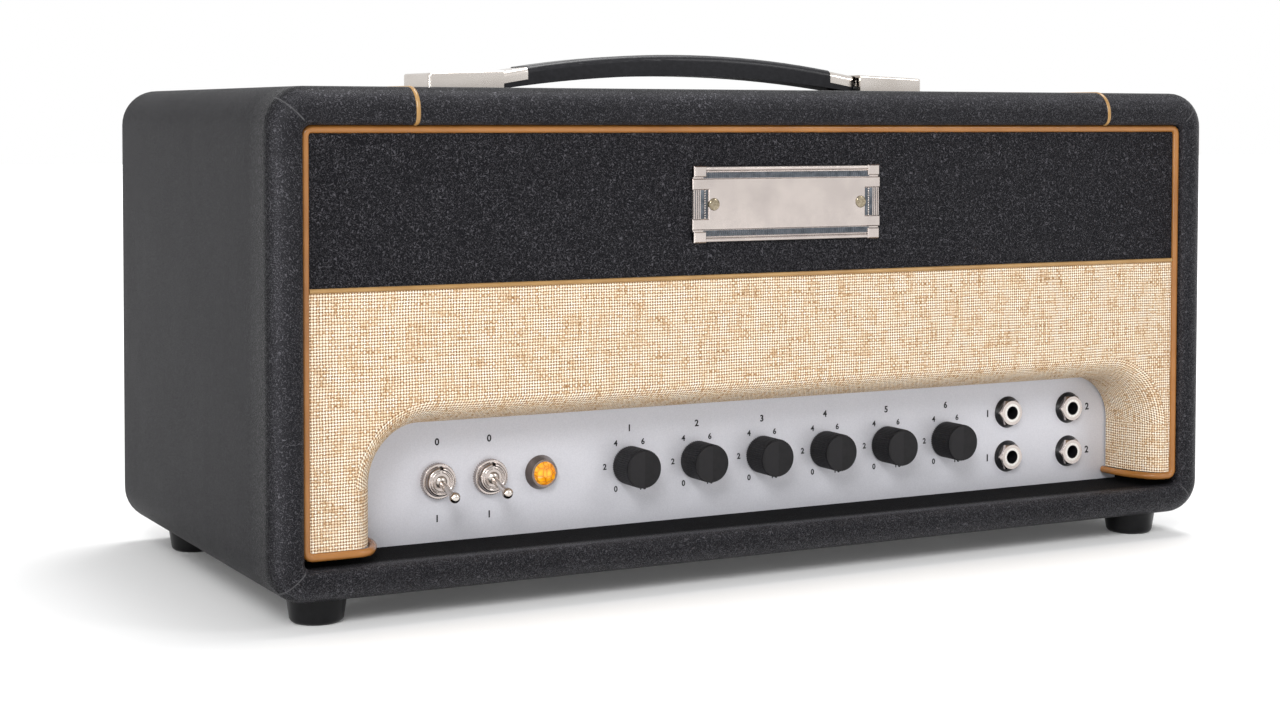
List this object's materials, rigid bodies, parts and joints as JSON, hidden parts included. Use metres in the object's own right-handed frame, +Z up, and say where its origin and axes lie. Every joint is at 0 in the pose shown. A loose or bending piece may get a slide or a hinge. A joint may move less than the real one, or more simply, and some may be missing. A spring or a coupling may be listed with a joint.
{
  "type": "guitar amplifier head",
  "caption": "Valve guitar amplifier head: a black covered cabinet with a cloth front, a recessed control panel with knobs, toggle switches, lamp and jacks, and a strap handle on top",
  "frame": {"origin": "middle of the cabinet's footprint on the surface that the feet stand on", "axes": "+X to the right seen from the control side, -Y towards the player (the control side), +Z up"},
  "size_m": [0.4968, 0.2402, 0.2445],
  "materials": {
    "wood": "bare plywood",
    "black_vinyl": "grained covering with a low sheen",
    "front_cloth": "woven straw-coloured cloth with brown flecks",
    "gold_piping": "smooth and glossy",
    "rubber": "matt",
    "black_plastic": "satin",
    "nickel": "bright plate",
    "steel": "zinc plated",
    "panel": "satin silver",
    "amber_lens": "faceted",
    "iron": "black varnish",
    "clear_glass": "clear",
    "blue_plastic": "sleeved can",
    "board_brown": "laminate"
  },
  "bodies": {
    "case": {"back_cleats": "wood", "back_panel": "black_vinyl", "back_screws": "steel", "badge_plate": "black_plastic", "badge_screws": "nickel", "baffle_board": "wood", "chassis": "steel", "chassis_bolts": "steel", "circuit_board": "board_brown", "control_panel": "panel", "control_surround": "wood", "divider_cord": "gold_piping", "filter_capacitors": "blue_plastic", "filter_choke": "iron", "floor_board": "wood", "foot_screws": "steel", "front_cloth": "front_cloth", "fuse_holders": "black_plastic", "handle_cap_screws": "nickel", "handle_caps": "black_plastic", "jack_bezels": "black_plastic", "jack_nuts": "nickel", "jack_sockets": "black_plastic", "lamp_bezel": "nickel", "lamp_lens": "amber_lens", "left_side": "wood", "mains_inlet": "black_plastic", "mains_transformer": "iron", "output_transformer": "iron", "perimeter_piping": "gold_piping", "pots": "steel", "power_tubes": "clear_glass", "preamp_tubes": "clear_glass", "right_side": "wood", "rubber_feet": "rubber", "toggle_bodies": "black_plastic", "toggle_nuts": "nickel", "top_board": "wood", "top_piping": "gold_piping", "tube_sockets": "black_plastic", "upper_front_panel": "black_vinyl", "vent_grille": "steel", "vinyl_covering": "black_vinyl"},
    "grip": {"handle_grip": "black_plastic", "handle_ferrules": "nickel", "handle_strap": "steel"},
    "mains_switch": {"mains_lever": "nickel"},
    "standby_switch": {"standby_lever": "nickel"},
    "control_1": {"knob_1": "black_plastic", "pot_shaft_1": "steel"},
    "control_2": {"knob_2": "black_plastic", "pot_shaft_2": "steel"},
    "control_3": {"knob_3": "black_plastic", "pot_shaft_3": "steel"},
    "control_4": {"knob_4": "black_plastic", "pot_shaft_4": "steel"},
    "control_5": {"knob_5": "black_plastic", "pot_shaft_5": "steel"},
    "control_6": {"knob_6": "black_plastic", "pot_shaft_6": "steel"}
  },
  "joints": [
    {"name": "knob_1_turn", "type": "hinge", "parent": "case", "child": "control_1", "pos_m": [-0.0647, -0.0888, 0.0532], "axis": [0, -1, 0], "range_deg": [-150, 150]},
    {"name": "knob_2_turn", "type": "hinge", "parent": "case", "child": "control_2", "pos_m": [-0.02908, -0.0888, 0.0532], "axis": [0, -1, 0], "range_deg": [-150, 150]},
    {"name": "knob_3_turn", "type": "hinge", "parent": "case", "child": "control_3", "pos_m": [0.00654, -0.0888, 0.0532], "axis": [0, -1, 0], "range_deg": [-150, 150]},
    {"name": "knob_4_turn", "type": "hinge", "parent": "case", "child": "control_4", "pos_m": [0.04216, -0.0888, 0.0532], "axis": [0, -1, 0], "range_deg": [-150, 150]},
    {"name": "knob_5_turn", "type": "hinge", "parent": "case", "child": "control_5", "pos_m": [0.07778, -0.0888, 0.0532], "axis": [0, -1, 0], "range_deg": [-150, 150]},
    {"name": "knob_6_turn", "type": "hinge", "parent": "case", "child": "control_6", "pos_m": [0.1134, -0.0888, 0.0532], "axis": [0, -1, 0], "range_deg": [-150, 150]},
    {"name": "mains_flip", "type": "hinge", "parent": "case", "child": "mains_switch", "pos_m": [-0.1604, -0.0839, 0.0532], "axis": [-1, 0, 0], "range_deg": [0, 30]},
    {"name": "standby_flip", "type": "hinge", "parent": "case", "child": "standby_switch", "pos_m": [-0.1353, -0.0839, 0.0532], "axis": [-1, 0, 0], "range_deg": [0, 30]},
    {"name": "handle_lift", "type": "slide", "parent": "case", "child": "grip", "axis": [0, 0, 1], "range_m": [0, 0.003]}
  ]
}
